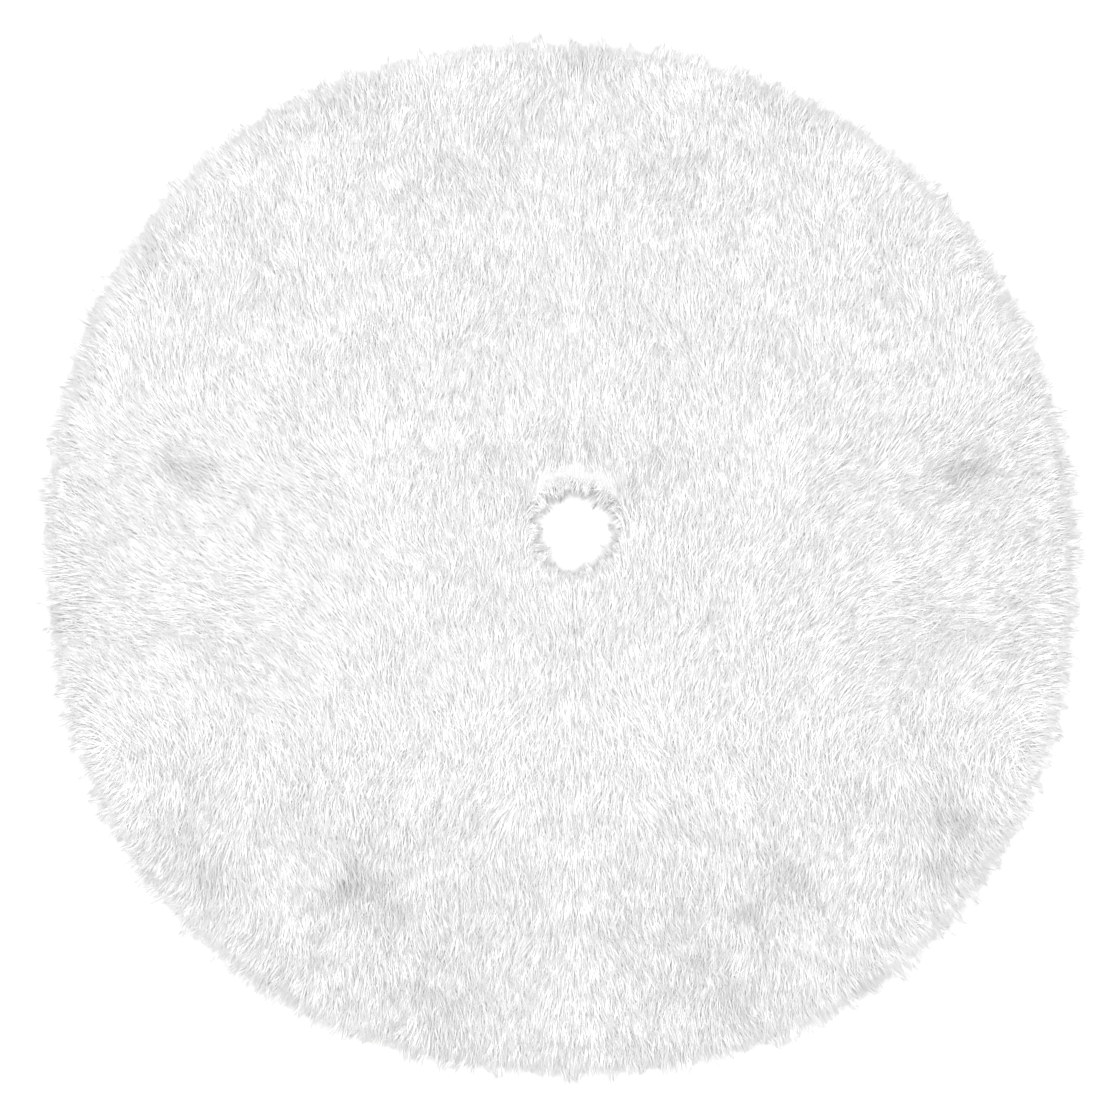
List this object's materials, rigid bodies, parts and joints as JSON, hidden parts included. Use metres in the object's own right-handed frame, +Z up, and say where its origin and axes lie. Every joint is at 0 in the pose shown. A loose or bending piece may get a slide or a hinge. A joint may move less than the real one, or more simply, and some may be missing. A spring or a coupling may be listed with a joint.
{
  "type": "tree skirt",
  "caption": "Round long-pile faux fur tree skirt in two lined half panels, with a trunk hole and a front slit closed by hook-and-loop patches on an underlap.",
  "frame": {"origin": "on the floor, under the middle of the skirt's bounding box", "axes": "+Z up out of the pile, -Y towards the front, where the slit runs from the trunk hole to the hem, +X to the right half"},
  "size_m": [1.206, 1.206, 0.02],
  "materials": {
    "fur": "long soft acrylic pile, white, matt with a faint sheen",
    "ground_cloth": "knitted polyester ground, matt",
    "lining": "plain woven polyester, matt",
    "tape": "herringbone cotton tape, matt",
    "loop": "nylon loop side, fuzzy",
    "hook": "nylon hook side, satin",
    "label": "blank satin ribbon"
  },
  "bodies": {
    "left_half": {"left_fur_pile": "fur", "left_ground_cloth": "ground_cloth", "left_lining": "lining", "left_hem_tape": "tape", "left_hole_tape": "tape", "back_seam_tape": "tape", "slit_underlap": "lining", "care_label": "label", "loop_patch_1": "loop", "loop_patch_2": "loop", "loop_patch_3": "loop", "loop_patch_4": "loop"},
    "right_half": {"right_fur_pile": "fur", "right_ground_cloth": "ground_cloth", "right_lining": "lining", "right_hem_tape": "tape", "right_hole_tape": "tape", "slit_facing": "tape", "hook_patch_1": "hook", "hook_patch_2": "hook", "hook_patch_3": "hook", "hook_patch_4": "hook"}
  },
  "joints": [
    {"name": "half_fold", "type": "hinge", "parent": "left_half", "child": "right_half", "pos_m": [0.017, 0, 0.0203], "axis": [0, -1, 0], "range_deg": [0, 180]}
  ]
}
